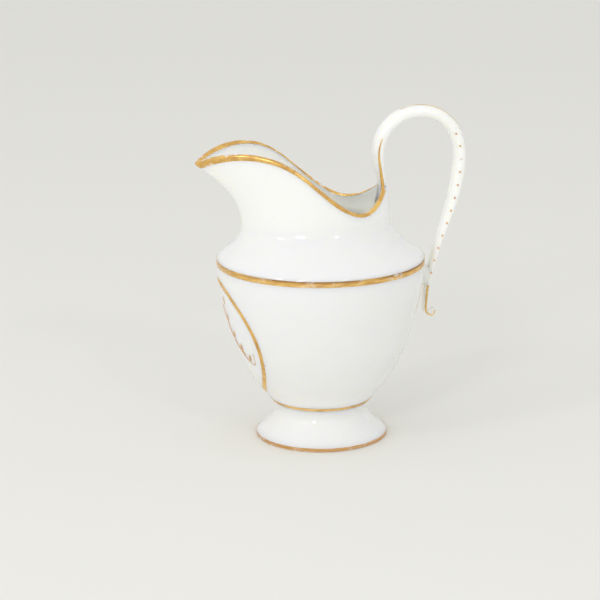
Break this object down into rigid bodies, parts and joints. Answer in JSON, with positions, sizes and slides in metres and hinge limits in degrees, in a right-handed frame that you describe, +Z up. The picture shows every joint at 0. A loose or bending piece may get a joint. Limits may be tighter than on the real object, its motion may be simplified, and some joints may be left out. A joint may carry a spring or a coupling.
{
  "type": "porcelain cream jug",
  "caption": "Footed porcelain cream jug: urn-shaped bowl, waisted neck, raised helmet spout, high looped strap handle with an outward curl, gilt rim and bands.",
  "frame": {"origin": "centre of the foot, on the plane that the jug stands on", "axes": "+Z up; the spout points along -X and the handle stands at +X; Y = 0 is the mirror plane"},
  "size_m": [0.1315, 0.1004, 0.161],
  "materials": {
    "porcelain": "clear gloss glaze over hard white porcelain",
    "gilding": "burnished gilding, worn",
    "worn_gilding": "gilding worn thin and coppery",
    "painted_gold": "thin matt painted gold, worn"
  },
  "bodies": {
    "root": {"bowl": "porcelain", "neck_and_spout": "porcelain", "foot": "porcelain", "handle": "porcelain", "rim_gilding": "gilding", "shoulder_band": "gilding", "waist_line": "gilding", "foot_edge_line": "worn_gilding", "medallion_border": "gilding", "medallion_spray": "painted_gold", "handle_crest_line": "gilding", "handle_stem_lines": "gilding", "handle_curl_lines": "gilding", "handle_dots": "painted_gold"}
  },
  "joints": []
}
